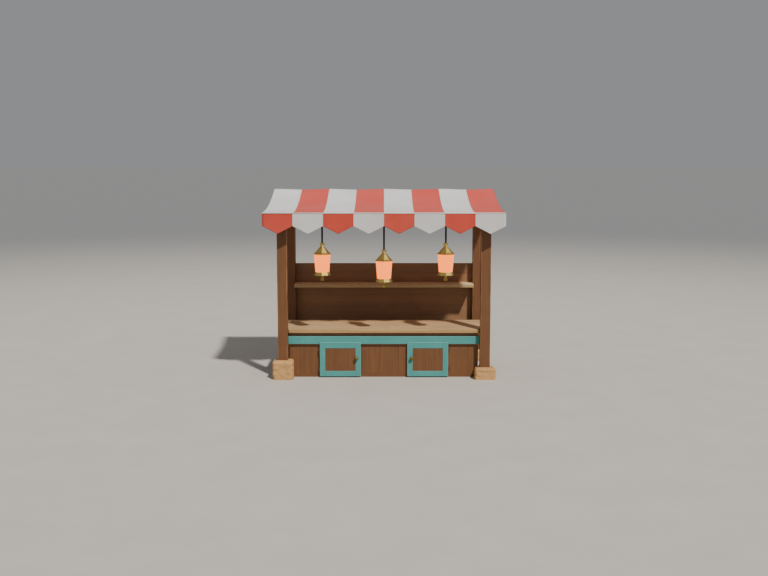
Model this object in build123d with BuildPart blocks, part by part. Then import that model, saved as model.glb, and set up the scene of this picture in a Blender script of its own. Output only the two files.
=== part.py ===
from build123d import *
import os
from math import cos, pi, sin, sqrt

# Wooden market stall with a striped canopy, a counter cabinet and three lanterns.
# Millimetres. X runs to the right, Y to the back and Z up. The front of the stall
# faces -Y, and the origin is on the ground at the centre of the whole outline.

# Posts and their footing stones
post = 140.0
post_span = 3000.0
post_depth = 1549.0
post_chamfer = 6.0
footing_width = 298.0
footing_step = 80.0
footing_left_height = 270.0
footing_right_height = 170.0
footing_gap = 3.0
footing_shoulder = 40.0
footing_corner = 14.0

# Canopy and valance
canopy_side_reach = 176.0
canopy_back_inset = 5.0
canopy_rise = 272.0
canopy_thickness = 6.0
eave_overhang = 216.0
eave_height = 2368.0
valance_thickness = 6.0
valance_drop = 185.0
pennant_drop = 108.0
pennants = 8
cloth_gap = 0.3

# Roof timbers
rafter_width = 45.0
rafter_depth = 60.0
rafter_seat = 4.0
end_rafter_inset = 4.0
eave_rail_thickness = 30.0
beam_thickness = 70.0
beam_height = 90.0
beam_chamfer = 4.0

# Counter top and the board under it
counter_height = 697.0
counter_thickness = 46.0
counter_front = 70.0
counter_back = 985.0
counter_inset = 30.0
counter_notch_gap = 0.3
counter_corner = 24.0
counter_round = 12.0
counter_foot_edge = 6.0
apron_bottom = 484.0
apron_top = 596.0
apron_front = 110.0
apron_edge = 5.0

# Cabinet
cabinet_front = 150.0
cabinet_back = 965.0
cabinet_end_gap = 18.0
panel = 20.0
cabinet_floor_top = 50.0

# Doors
door_inner = 331.0
door_width = 582.0
door_bottom = 17.0
door_height = 494.0
door_front = 98.0
door_gap = 2.0
door_head_gap = 4.0
door_lap = 20.0
door_head_lap = 14.0
stile = 76.0
top_rail = 88.0
bottom_rail = 78.0
door_edge = 4.0
door_panel_thickness = 14.0
door_panel_recess = 5.0
door_groove = 8.0
door_groove_gap = 0.5
knob_radius = 29.0
knob_inset = 61.0
knob_height = 284.0
knob_neck_radius = 9.0
knob_neck_length = 16.0
knob_rose_radius = 11.0
knob_rose_thickness = 4.0
knob_shoulder_radius = 22.0
knob_shoulder = 7.0
knob_band = 20.0

# Hinges
hinge_height = 72.0
hinge_inset = 60.0
hinge_barrel_radius = 5.5
hinge_pin_radius = 3.0
hinge_pin_gap = 0.05
hinge_side_gap = 1.0
hinge_leaf = 2.5
hinge_leaf_width = 24.0
hinge_knuckles = 3
knuckle_gap = 0.5

# Back wall and shelf
wall_height = 1495.0
wall_foot = 20.0
wall_thickness = 25.0
shelf_height = 1202.0
shelf_thickness = 44.0
shelf_depth = 360.0
shelf_edge = 6.0
shelf_end_gap = 0.3
cleat = 38.0

# Lanterns
lantern_spacing = 858.0
lantern_forward = 92.0
lantern_side_top = 1941.0
lantern_middle_drop = 93.0
lantern_sides = 8
collar_radius = 35.0
collar_neck = 26.0
collar_height = 47.0
cap_radius = 123.0
cap_lip = 10.0
cap_height = 110.0
cap_shoulder_height = 48.0
cap_shoulder_radius = 83.0
cap_crown_height = 81.0
cap_crown_radius = 52.0
cap_wall = 6.0
metal_wall = 4.0
glass_top_radius = 115.0
glass_foot_radius = 96.0
glass_height = 246.0
glass_wall = 4.0
glass_rim_radius = 104.0
base_radius = 114.0
base_flare = 15.0
base_height = 48.0
finial_height = 74.0
finial_radius = 28.0
finial_neck = 15.0
stem_radius = 6.0
rod_radius = 13.0
eye_radius = 15.0
eye_thickness = 12.0
neck_radius = 5.0
neck_length = 12.0
pivot_drop = 24.0
bracket_pin_radius = 5.0
bracket_pin_gap = 0.05
bracket_ear = 6.0
bracket_ear_round = 9.0
bracket_ear_gap = 1.0
bracket_plate = 4.0

# Places worked out from the sizes above. Depths are first counted from the
# front faces of the front posts, then shifted by front.
canopy_width = post_span + 2 * canopy_side_reach
canopy_run = eave_overhang + post_depth - canopy_back_inset
overall_depth = eave_overhang + post_depth + wall_thickness
front = eave_overhang - overall_depth / 2
back_post_front = front + post_depth - post
back_face = front + post_depth
post_x = (post_span - post) / 2
clear_x = post_span / 2 - post
canopy_x = canopy_width / 2
eave_y = front - eave_overhang

os.makedirs("parts", exist_ok=True)


def write(piece, name):
    """Label one finished piece and write its file."""
    piece.part.label = name
    export_step(piece.part, f"parts/{name}.step")


def facing(y):
    """Plane across the stall at depth y, looked at from the front."""
    return Plane.XZ.offset(-y)


def box_between(low, high):
    """Add a box between two corners to the part that is being made."""
    middle = [(a + b) / 2 for a, b in zip(low, high)]
    with Locations(tuple(middle)):
        Box(high[0] - low[0], high[1] - low[1], high[2] - low[2])


# Canopy line: every roof piece is bounded by arcs about one centre above the eave,
# so that the cloth leaves the eave level and rises ever more steeply to the back.
canopy_radius = (canopy_run ** 2 + canopy_rise ** 2) / (2 * canopy_rise)
arc_centre_z = eave_height + canopy_radius
rafter_top_radius = canopy_radius + canopy_thickness + cloth_gap
rafter_foot_radius = rafter_top_radius + rafter_depth


def arc_height(radius, y):
    """Height at depth y of the arc of this radius."""
    return arc_centre_z - sqrt(radius ** 2 - (y - eave_y) ** 2)


def roof_profile(x, upper, lower, y_start, y_end):
    """Side outline at x between two roof arcs, cut square at both ends."""
    y_middle = (y_start + y_end) / 2
    with BuildSketch(Plane.YZ.offset(x)) as profile:
        with BuildLine():
            over = ThreePointArc(*[(y, arc_height(upper, y)) for y in (y_start, y_middle, y_end)])
            under = ThreePointArc(*[(y, arc_height(lower, y)) for y in (y_start, y_middle, y_end)])
            Line(over @ 0, under @ 0)
            Line(over @ 1, under @ 1)
        make_face()
    return profile.sketch


with BuildPart() as canopy:
    add(roof_profile(0, canopy_radius, canopy_radius + canopy_thickness, eave_y, eave_y + canopy_run))
    extrude(amount=canopy_x, dir=(1, 0, 0), both=True)
write(canopy, "canopy")

# Valance: one strip cut to a row of pointed pennants, hung behind the canopy's edge
valance_back = eave_y + valance_thickness
valance_top = arc_height(rafter_top_radius, eave_y)
valley_z = eave_height - valance_drop
tip_z = valley_z - pennant_drop
pitch = canopy_width / pennants

with BuildPart() as valance:
    with BuildSketch(facing(valance_back)):
        with BuildLine():
            edge = [(-canopy_x, valance_top), (-canopy_x, valley_z)]
            for index in range(pennants):
                left = -canopy_x + index * pitch
                edge += [(left + pitch / 2, tip_z), (left + pitch, valley_z)]
            edge.append((canopy_x, valance_top))
            Polyline(*edge, close=True)
        make_face()
    extrude(amount=valance_thickness)
write(valance, "valance")

# Eave rail: the batten that the canopy and the valance are nailed to
rail_front = valance_back + cloth_gap
rail_back = rail_front + eave_rail_thickness

with BuildPart() as eave_rail:
    add(roof_profile(0, rafter_top_radius, rafter_foot_radius, rail_front, rail_back))
    extrude(amount=canopy_x - end_rafter_inset, dir=(1, 0, 0), both=True)
write(eave_rail, "eave_rail")

# Beams: one on the front posts and one on the back posts
front_beam_y = front + post / 2
back_beam_y = back_post_front + post / 2


def beam_top(y):
    """Level of a beam's top, which the rafters are notched to sit on."""
    return arc_height(rafter_foot_radius, y + beam_thickness / 2) + rafter_seat


for name, beam_y in (("front_beam", front_beam_y), ("back_beam", back_beam_y)):
    with BuildPart() as beam:
        with Locations((0, beam_y, beam_top(beam_y) - beam_height / 2)):
            Box(canopy_width - 2 * end_rafter_inset, beam_thickness, beam_height)
        chamfer(beam.edges().filter_by(Axis.X), beam_chamfer)
    write(beam, name)

# Rafters: curved on top to the canopy's line and notched over both beams
end_rafter_x = canopy_x - end_rafter_inset - rafter_width / 2
rafter_back = eave_y + canopy_run
rafter_places = {
    "end_rafters": (-end_rafter_x, end_rafter_x),
    "lantern_rafters": (-lantern_spacing, 0, lantern_spacing),
}

for name, places in rafter_places.items():
    with BuildPart() as rafters:
        for rafter_x in places:
            add(roof_profile(rafter_x, rafter_top_radius, rafter_foot_radius, rail_back, rafter_back))
        extrude(amount=rafter_width / 2, dir=(1, 0, 0), both=True)
        for beam_y in (front_beam_y, back_beam_y):
            with Locations((0, beam_y, beam_top(beam_y) - beam_height / 2)):
                Box(canopy_width, beam_thickness, beam_height, mode=Mode.SUBTRACT)
    write(rafters, name)

# Footing stones: squared blocks with dressed shoulders, under each post
front_footing_back = front + cabinet_front - footing_gap
footing_places = {
    "footing_front_left": (-post_x, front, front_footing_back, footing_left_height),
    "footing_front_right": (post_x, front, front_footing_back, footing_right_height),
    "footing_back_left": (-post_x, back_post_front, back_face, footing_left_height),
    "footing_back_right": (post_x, back_post_front, back_face, footing_right_height),
}

for name, (x, post_front, stone_back, height) in footing_places.items():
    with BuildPart() as footing:
        box_between((x - footing_width / 2, post_front - footing_step, 0),
                    (x + footing_width / 2, stone_back, height))
        chamfer(footing.edges().group_by(Axis.Z)[-1].sort_by(Axis.Y)[:-1], footing_shoulder)
        chamfer(footing.edges().filter_by(Axis.Z).group_by(Axis.Y)[0], footing_corner)
    write(footing, name)

# Posts: square timbers from the footing stones up to the beams
post_places = {
    "post_front_left": (-post_x, front_beam_y, footing_left_height),
    "post_front_right": (post_x, front_beam_y, footing_right_height),
    "post_back_left": (-post_x, back_beam_y, footing_left_height),
    "post_back_right": (post_x, back_beam_y, footing_right_height),
}

for name, (x, y, foot) in post_places.items():
    head = beam_top(y) - beam_height
    with BuildPart() as timber:
        with Locations((x, y, (foot + head) / 2)):
            Box(post, post, head - foot)
        chamfer(timber.edges().filter_by(Axis.Z), post_chamfer)
    write(timber, name)

# Back wall: boards nailed to the back of the back posts
with BuildPart() as back_wall:
    box_between((-post_span / 2, back_face, wall_foot),
                (post_span / 2, back_face + wall_thickness, wall_height))
write(back_wall, "back_wall")

# Shelf: one board fitted between the back posts, on a cleat along the wall
shelf_front = back_face - shelf_depth
shelf_x = clear_x - shelf_end_gap

with BuildPart() as shelf:
    box_between((-shelf_x, shelf_front, shelf_height - shelf_thickness),
                (shelf_x, back_face, shelf_height))
    chamfer(shelf.edges().group_by(Axis.Y)[0].filter_by(Axis.X), shelf_edge)
write(shelf, "shelf")

with BuildPart() as shelf_cleat:
    cleat_top = shelf_height - shelf_thickness
    box_between((-clear_x, back_face - cleat, cleat_top - cleat), (clear_x, back_face, cleat_top))
write(shelf_cleat, "shelf_cleat")

# Counter top: a thick slab notched round the front posts, its free corners and edges eased
counter_low = counter_height - counter_thickness
counter_x = post_span / 2 - counter_inset
notch_back = front + post + counter_notch_gap

with BuildPart() as counter_top:
    box_between((-counter_x, front + counter_front, counter_low),
                (counter_x, front + counter_back, counter_height))
    for side in (-1, 1):
        notch_x = side * (clear_x - counter_notch_gap + counter_x) / 2
        with Locations((notch_x, (front + notch_back) / 2, counter_height - counter_thickness / 2)):
            Box(counter_x - clear_x + counter_notch_gap, notch_back - front, counter_thickness,
                mode=Mode.SUBTRACT)
    uprights = counter_top.edges().filter_by(Axis.Z).group_by(Axis.Y)
    chamfer(uprights[0] + uprights[-1], counter_corner)
    rim = counter_top.edges().group_by(Axis.Z)[-1]
    front_rim = rim.filter_by(lambda edge: edge.center().Y < front + counter_front + counter_corner)
    back_rim = rim.filter_by(lambda edge: edge.center().Y > notch_back + counter_corner)
    fillet(front_rim + back_rim, counter_round)
    foot_rim = counter_top.edges().filter_by(Axis.X).group_by(Axis.Z)[0].sort_by(Axis.Y)
    chamfer(foot_rim[0], counter_foot_edge)
write(counter_top, "counter_top")

# Apron: the painted board under the counter's edge
with BuildPart() as apron:
    box_between((-clear_x, front + apron_front, apron_bottom),
                (clear_x, front + cabinet_front, apron_top))
    chamfer(apron.edges().filter_by(Axis.X).group_by(Axis.Y)[0], apron_edge)
write(apron, "apron")

# Cabinet: a box of panels, with its front split round the two doorways
cabinet_x = clear_x - cabinet_end_gap
face_front = front + cabinet_front
face_back = face_front + panel
rear_back = front + cabinet_back
rear_front = rear_back - panel
door_outer = door_inner + door_width
doorway_inner = door_inner + door_lap
doorway_outer = door_outer - door_lap
doorway_top = apron_bottom - door_head_gap - door_head_lap
cabinet_pieces = {
    "cabinet_top_rail": ((-cabinet_x, face_front, doorway_top), (cabinet_x, face_back, counter_low)),
    "cabinet_bottom_rail": ((-cabinet_x, face_front, 0), (cabinet_x, face_back, cabinet_floor_top)),
    "cabinet_front_left": ((-cabinet_x, face_front, cabinet_floor_top),
                           (-doorway_outer, face_back, doorway_top)),
    "cabinet_front_middle": ((-doorway_inner, face_front, cabinet_floor_top),
                             (doorway_inner, face_back, doorway_top)),
    "cabinet_front_right": ((doorway_outer, face_front, cabinet_floor_top),
                            (cabinet_x, face_back, doorway_top)),
    "cabinet_side_left": ((-cabinet_x, face_back, 0), (panel - cabinet_x, rear_front, counter_low)),
    "cabinet_side_right": ((cabinet_x - panel, face_back, 0), (cabinet_x, rear_front, counter_low)),
    "cabinet_back": ((-cabinet_x, rear_front, 0), (cabinet_x, rear_back, counter_low)),
    "cabinet_floor": ((panel - cabinet_x, face_back, cabinet_floor_top - panel),
                      (cabinet_x - panel, rear_front, cabinet_floor_top)),
}

for name, (low, high) in cabinet_pieces.items():
    with BuildPart() as panel_piece:
        box_between(low, high)
    write(panel_piece, name)

# Doors: a frame with a sunk panel, its head rebated to lap the apron
door_y = front + door_front
door_back = face_front - door_gap
door_top = door_bottom + door_height
door_middle = (door_inner + door_outer) / 2
panel_y = door_y + door_panel_recess
panel_low = door_bottom + bottom_rail
panel_high = door_top - top_rail

panel_back = panel_y + door_panel_thickness
panel_box = ((door_inner + stile - door_groove, panel_y, panel_low - door_groove),
             (door_outer - stile + door_groove, panel_back, panel_high + door_groove))
rebate_front = front + apron_front - door_gap
rebate_low = apron_bottom - door_head_gap
frame_members = (
    ((door_inner, door_bottom), (door_inner + stile, door_top)),
    ((door_outer - stile, door_bottom), (door_outer, door_top)),
    ((door_inner + stile, door_bottom), (door_outer - stile, panel_low)),
    ((door_inner + stile, panel_high), (door_outer - stile, door_top)),
)

with BuildPart() as door_right_frame:
    for (x_low, z_low), (x_high, z_high) in frame_members:
        box_between((x_low, door_y, z_low), (x_high, door_back, z_high))
    chamfer(door_right_frame.edges().group_by(Axis.Y)[0], door_edge)
    with Locations((door_middle, (rebate_front + door_back) / 2, (rebate_low + door_top) / 2)):
        Box(door_width, door_back - rebate_front, door_top - rebate_low, mode=Mode.SUBTRACT)
    with Locations((door_middle, (panel_y + panel_back) / 2, (panel_low + panel_high) / 2)):
        Box(panel_box[1][0] - panel_box[0][0] + 2 * door_groove_gap,
            door_panel_thickness + 2 * door_groove_gap,
            panel_box[1][2] - panel_box[0][2] + 2 * door_groove_gap, mode=Mode.SUBTRACT)
write(door_right_frame, "door_right_frame")

with BuildPart() as door_right_panel:
    box_between(*panel_box)
write(door_right_panel, "door_right_panel")

# Knob: turned brass on a rose, its steps given from the door outwards as radius and length
knob_x = door_inner + knob_inset
knob_steps = (
    (knob_rose_radius, knob_rose_thickness),
    (knob_neck_radius, knob_neck_length),
    (knob_shoulder_radius, knob_shoulder),
    (knob_radius, knob_band),
    (knob_shoulder_radius, knob_shoulder),
)
knob_profile = [(0, 0)]
knob_length = 0
for radius, length in knob_steps:
    knob_profile.append((radius, -knob_length))
    knob_length += length
    knob_profile.append((radius, -knob_length))
knob_profile.append((0, -knob_length))

with BuildPart() as door_right_knob:
    with BuildSketch(Plane.XY.offset(knob_height)):
        with Locations((knob_x, door_y)):
            Polygon(*knob_profile, align=None)
    revolve(axis=Axis((knob_x, door_y, knob_height), (0, 1, 0)))
write(door_right_knob, "door_right_knob")

# Hinges: the barrel stands at the front corner of the door, and the fixed leaf is
# an angle that steps back to the cabinet's face
hinge_x = door_outer + hinge_barrel_radius + hinge_side_gap
hinge_y = door_y + hinge_barrel_radius
hinge_levels = (door_bottom + hinge_inset + hinge_height / 2, door_top - top_rail - hinge_height / 2)
knuckle = (hinge_height - (hinge_knuckles - 1) * knuckle_gap) / hinge_knuckles
hinge_plate_y = hinge_y + hinge_barrel_radius + hinge_side_gap

with BuildPart() as door_right_hinges:
    for level in hinge_levels:
        with Locations((hinge_x, hinge_y, level)):
            Cylinder(hinge_barrel_radius, knuckle)
        box_between((door_outer, hinge_y, level - knuckle / 2),
                    (door_outer + hinge_leaf, hinge_y + hinge_leaf_width, level + knuckle / 2))
        with Locations((hinge_x, hinge_y, level)):
            Cylinder(hinge_pin_radius + hinge_pin_gap, knuckle, mode=Mode.SUBTRACT)
write(door_right_hinges, "door_right_hinges")

with BuildPart() as cabinet_hinges:
    for level in hinge_levels:
        low = level - hinge_height / 2
        high = level + hinge_height / 2
        with Locations((hinge_x, hinge_y, level)):
            Cylinder(hinge_pin_radius, hinge_height)
        for start in (low, high - knuckle):
            with Locations((hinge_x, hinge_y, start + knuckle / 2)):
                Cylinder(hinge_barrel_radius, knuckle)
            box_between((hinge_x - hinge_leaf / 2, hinge_y, start),
                        (hinge_x + hinge_leaf / 2, hinge_plate_y, start + knuckle))
        box_between((hinge_x - hinge_leaf / 2, hinge_plate_y, low),
                    (hinge_x + hinge_leaf / 2, face_front, high))
        box_between((hinge_x - hinge_leaf / 2, face_front - hinge_leaf, low),
                    (hinge_x + hinge_leaf_width, face_front, high))
    mirror(about=Plane.YZ)
write(cabinet_hinges, "cabinet_hinges")

# The left door and its hinges are the right ones mirrored
left_of_right = {
    "door_left_frame": door_right_frame,
    "door_left_panel": door_right_panel,
    "door_left_knob": door_right_knob,
    "door_left_hinges": door_right_hinges,
}

for name, right_piece in left_of_right.items():
    with BuildPart() as left_piece:
        mirror(right_piece.part, about=Plane.YZ)
    write(left_piece, name)

# Lanterns: a glass with a metal cap and base, on an iron rod that swings from a
# pinned bracket under a rafter
lantern_y = front - lantern_forward
pivot_z = arc_height(rafter_foot_radius, lantern_y) - pivot_drop
bracket_length = eye_thickness + 2 * (bracket_ear_gap + bracket_ear)
bracket_seat = arc_height(rafter_foot_radius, lantern_y - bracket_length / 2)
lantern_places = {
    "lantern_left": (-lantern_spacing, lantern_side_top),
    "lantern_middle": (0, lantern_side_top - lantern_middle_drop),
    "lantern_right": (lantern_spacing, lantern_side_top),
}


# Half outlines of the lantern's pieces: corner radius and height above the cap's edge
cap_outline = (
    (cap_radius, 0),
    (cap_radius - cap_lip / 2, cap_lip),
    (cap_shoulder_radius, cap_shoulder_height),
    (cap_crown_radius, cap_crown_height),
    (collar_neck, cap_height),
    (collar_radius, cap_height + collar_height),
)
cap_hollow = (
    (glass_rim_radius, 0),
    (glass_rim_radius, metal_wall),
    (cap_radius - cap_wall, metal_wall),
    (cap_radius - cap_lip / 2 - cap_wall, cap_lip),
    (cap_shoulder_radius - cap_wall, cap_shoulder_height),
    (cap_crown_radius - cap_wall, cap_crown_height),
)
base_top = -glass_height
base_foot = base_top - base_height
base_outline = (
    (finial_radius, base_foot - finial_height),
    (finial_neck, base_foot),
    (base_radius, base_foot),
    (base_radius - base_flare, base_top),
)
base_hollow = (
    (base_radius - metal_wall, base_foot),
    (base_radius - base_flare - metal_wall, base_top - metal_wall),
)
glass_outline = ((glass_foot_radius, base_top), (glass_top_radius, 0))
glass_hollow = ((glass_foot_radius - glass_wall, base_top), (glass_top_radius - glass_wall, 0))


def faceted(x, cap_edge, half_outline):
    """Many-sided solid about a lantern's centre line, with a corner to the front.

    Each pair of opposite sides comes from the outline run straight through, and
    what all the pairs have in common is the solid.
    """
    half_turn = pi / lantern_sides
    right = [(radius * cos(half_turn), cap_edge + height) for radius, height in half_outline]
    left = [(-radius, height) for radius, height in reversed(right)]
    with BuildPart() as solid:
        for pair in range(lantern_sides // 2):
            turn = half_turn * (2 * pair + 1)
            across = Vector(cos(turn), sin(turn), 0)
            side_plane = Plane((x, lantern_y, 0), x_dir=across, z_dir=across.cross(Vector(0, 0, 1)))
            with BuildSketch(side_plane):
                Polygon(*right, *left, align=None)
            extrude(amount=cap_radius, both=True, mode=Mode.INTERSECT if pair else Mode.ADD)
    return solid.part


for lantern, (x, collar_top) in lantern_places.items():
    cap_edge = collar_top - collar_height - cap_height
    stem_top = cap_edge + cap_height
    stem_foot = cap_edge + base_foot
    cap = faceted(x, cap_edge, cap_outline)
    hollow = faceted(x, cap_edge, cap_hollow)
    base = faceted(x, cap_edge, base_outline)
    tray = faceted(x, cap_edge, base_hollow)
    with BuildPart() as metalwork:
        add(cap)
        add(hollow, mode=Mode.SUBTRACT)
        add(base)
        add(tray, mode=Mode.SUBTRACT)
        with Locations((x, lantern_y, (stem_top + stem_foot) / 2)):
            Cylinder(stem_radius, stem_top - stem_foot)
    write(metalwork, f"{lantern}_metalwork")

    shade = faceted(x, cap_edge, glass_outline)
    shade_hollow = faceted(x, cap_edge, glass_hollow)
    with BuildPart() as glass:
        add(shade)
        add(shade_hollow, mode=Mode.SUBTRACT)
    write(glass, f"{lantern}_glass")

    neck_top = pivot_z - eye_radius
    rod_top = neck_top - neck_length
    with BuildPart() as rod:
        with Locations((x, lantern_y, (rod_top + collar_top) / 2)):
            Cylinder(rod_radius, rod_top - collar_top)
        with Locations((x, lantern_y, (rod_top + pivot_z) / 2)):
            Cylinder(neck_radius, pivot_z - rod_top)
        with BuildSketch(facing(lantern_y)):
            with Locations((x, pivot_z)):
                Circle(eye_radius)
        extrude(amount=eye_thickness / 2, both=True)
        with BuildSketch(facing(lantern_y)):
            with Locations((x, pivot_z)):
                Circle(bracket_pin_radius + bracket_pin_gap)
        extrude(amount=eye_thickness, both=True, mode=Mode.SUBTRACT)
    write(rod, f"{lantern}_rod")

with BuildPart() as lantern_brackets:
    for x in (-lantern_spacing, 0, lantern_spacing):
        box_between((x - eye_radius, lantern_y - bracket_length / 2, bracket_seat - bracket_plate),
                    (x + eye_radius, lantern_y + bracket_length / 2, bracket_seat))
        for side in (-1, 1):
            ear_y = lantern_y + side * (bracket_length - bracket_ear) / 2
            box_between((x - bracket_ear_round, ear_y - bracket_ear / 2, pivot_z),
                        (x + bracket_ear_round, ear_y + bracket_ear / 2, bracket_seat))
        with BuildSketch(facing(lantern_y + bracket_length / 2)):
            with Locations((x, pivot_z)):
                Circle(bracket_ear_round)
        extrude(amount=bracket_ear)
        with BuildSketch(facing(lantern_y - bracket_length / 2 + bracket_ear)):
            with Locations((x, pivot_z)):
                Circle(bracket_ear_round)
        extrude(amount=bracket_ear)
        with BuildSketch(facing(lantern_y)):
            with Locations((x, pivot_z)):
                Circle(bracket_pin_radius)
        extrude(amount=bracket_length / 2, both=True)
write(lantern_brackets, "lantern_brackets")
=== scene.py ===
import math
import random

import bmesh
import bpy
from mathutils import Matrix, Vector, noise


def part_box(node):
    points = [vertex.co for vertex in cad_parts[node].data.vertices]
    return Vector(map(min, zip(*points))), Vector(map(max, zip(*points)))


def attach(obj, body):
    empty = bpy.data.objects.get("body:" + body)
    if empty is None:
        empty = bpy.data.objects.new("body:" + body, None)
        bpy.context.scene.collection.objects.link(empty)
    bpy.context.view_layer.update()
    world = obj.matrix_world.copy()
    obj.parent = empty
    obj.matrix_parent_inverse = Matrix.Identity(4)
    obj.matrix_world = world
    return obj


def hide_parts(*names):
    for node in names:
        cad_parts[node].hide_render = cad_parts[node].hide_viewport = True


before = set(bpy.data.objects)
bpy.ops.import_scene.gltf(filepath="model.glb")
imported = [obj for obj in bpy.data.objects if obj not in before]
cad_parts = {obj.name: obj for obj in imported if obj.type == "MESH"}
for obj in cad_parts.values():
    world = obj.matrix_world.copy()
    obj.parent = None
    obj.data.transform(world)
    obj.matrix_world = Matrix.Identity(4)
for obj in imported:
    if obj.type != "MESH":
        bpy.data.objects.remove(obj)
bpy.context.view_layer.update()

# Studio. The stall stands on a pale plaster floor under a soft grey sky. One even
# light comes from high on the right in front, a weak one from straight in front,
# and the camera has the height and the slope that the picture was taken from.


def linear(code):
    """Linear colour of an sRGB hex code, with full alpha."""
    parts = [int(code[start:start + 2], 16) / 255 for start in (1, 3, 5)]
    return [p / 12.92 if p <= 0.04045 else ((p + 0.055) / 1.055) ** 2.4 for p in parts] + [1.0]


def shade(tree, kind, inputs=(), **settings):
    """Add a shader node. Inputs maps a socket's name or number to a value or to an output."""
    made = tree.nodes.new(kind)
    for name, value in settings.items():
        setattr(made, name, value)
    for name, value in dict(inputs).items():
        if isinstance(value, bpy.types.NodeSocket):
            tree.links.new(value, made.inputs[name])
        else:
            made.inputs[name].default_value = value
    return made


def new_material(name):
    """Empty node material and its tree, whose output is set by the caller."""
    material = bpy.data.materials.new(name)
    material.use_nodes = True
    material.node_tree.nodes.clear()
    return material, material.node_tree


def place_object(name, data):
    """New object at the scene's origin."""
    made = bpy.data.objects.new(name, data)
    bpy.context.scene.collection.objects.link(made)
    return made


# Matt plaster: smooth and pale, with faint clouds of trowelling about 0.6 m across. From
# 5 m to 30 m away it grows greyer up to the sky's own tone, so that no horizon shows.
plaster, tree = new_material("trowelled_plaster")
place = shade(tree, "ShaderNodeTexCoord").outputs["Object"]
clouds = shade(tree, "ShaderNodeTexNoise", {"Vector": place, "Scale": 1 / 0.6, "Detail": 3.0}).outputs["Fac"]
tint = shade(tree, "ShaderNodeMix", {0: clouds, 6: linear("#B9B4AB"), 7: linear("#C6C1B8")},
             data_type="RGBA").outputs[2]
away = shade(tree, "ShaderNodeVectorMath", {0: place}, operation="LENGTH").outputs["Value"]
greying = shade(tree, "ShaderNodeMapRange", {0: away, 1: 5.0, 2: 30.0}, interpolation_type="SMOOTHSTEP")
tint = shade(tree, "ShaderNodeMix", {0: greying.outputs[0], 6: tint, 7: linear("#7D7E80")},
             data_type="RGBA").outputs[2]
surface = shade(tree, "ShaderNodeBsdfPrincipled", {"Base Color": tint, "Roughness": 0.9})
shade(tree, "ShaderNodeOutputMaterial", {"Surface": surface.outputs[0]})

bm = bmesh.new()
bmesh.ops.create_grid(bm, x_segments=2, y_segments=2, size=300.0)
floor_mesh = bpy.data.meshes.new("floor")
bm.to_mesh(floor_mesh)
bm.free()
floor_mesh.materials.append(plaster)
floor = place_object("floor", floor_mesh)

sky = bpy.data.worlds.new("soft_sky")
sky.use_nodes = True
sky.node_tree.nodes["Background"].inputs["Color"].default_value = linear("#D3D5D8")
sky.node_tree.nodes["Background"].inputs["Strength"].default_value = 0.42
bpy.context.scene.world = sky

# The key is as wide as a lamp 1.3 m across at 25 m, so that shadows have a slightly soft edge.
key_data = bpy.data.lights.new("key", "SUN")
key_data.energy = 4.1
key_data.angle = math.radians(3.0)
key_data.color = (1.0, 0.96, 0.9)
key_shines = Vector((-7.95, 14.45, -18.8))
key = place_object("key", key_data)
key.rotation_euler = key_shines.to_track_quat("-Z", "Y").to_euler()

fill_data = bpy.data.lights.new("fill", "AREA")
fill_data.shape = "DISK"
fill_data.size = 8.0
fill_data.energy = 150
fill_data.color = (1.0, 0.97, 0.93)
fill_shines = Vector((0.0, 18.0, -3.0))
fill = place_object("fill", fill_data)
fill.location = (0.0, -18.0, 4.0)
fill.rotation_euler = fill_shines.to_track_quat("-Z", "Y").to_euler()
fill.visible_camera = False

eye_data = bpy.data.cameras.new("eye")
eye_data.lens = 50.0
eye_data.sensor_width = 36.0
eye = place_object("eye", eye_data)
eye.location = (0.0, -15.535, 3.148)
eye.rotation_euler = (math.radians(82.91), 0.0, 0.0)
bpy.context.scene.camera = eye

# Footing stones. One dressed sandstone block lies under each post. Its shoulders
# are knocked off and its faces are left as the punch made them, level only where
# the post stands.


def finish_piece(bm, name, body, materials, stands_for=(), smooth=False):
    """Make the object of a mesh, give it its materials and let it ride on its body."""
    # Cuts and spins give corners and faces an order that changes from run to run, so it is set here.
    for number, vertex in enumerate(sorted(bm.verts, key=lambda v: v.co[:])):
        vertex.index = number
    bm.verts.sort()
    for number, face in enumerate(sorted(bm.faces, key=lambda f: sorted(v.index for v in f.verts))):
        face.index = number
    bm.faces.sort()
    mesh = bpy.data.meshes.new(name)
    bm.to_mesh(mesh)
    bm.free()
    for material in materials:
        mesh.materials.append(material)
    if smooth:
        mesh.shade_smooth()
    else:
        mesh.shade_flat()
    piece = place_object(name, mesh)
    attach(piece, body)
    if stands_for:
        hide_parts(*stands_for)
    return piece


def block(low, high):
    """Plain box between two corners, the start of a shaped piece."""
    low, high = Vector(low), Vector(high)
    bm = bmesh.new()
    bmesh.ops.create_cube(bm, size=1.0, matrix=Matrix.Translation((low + high) / 2)
                          @ Matrix.Diagonal((*(high - low), 1.0)))
    return bm


def held_within(spot, low, high):
    """The point of a box that is nearest to a spot."""
    return Vector([min(max(c, a), b) for c, a, b in zip(spot, low, high)])


def share(part, whole):
    """Part over whole, kept between 0 and 1."""
    return min(max(part / whole, 0.0), 1.0)


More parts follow.
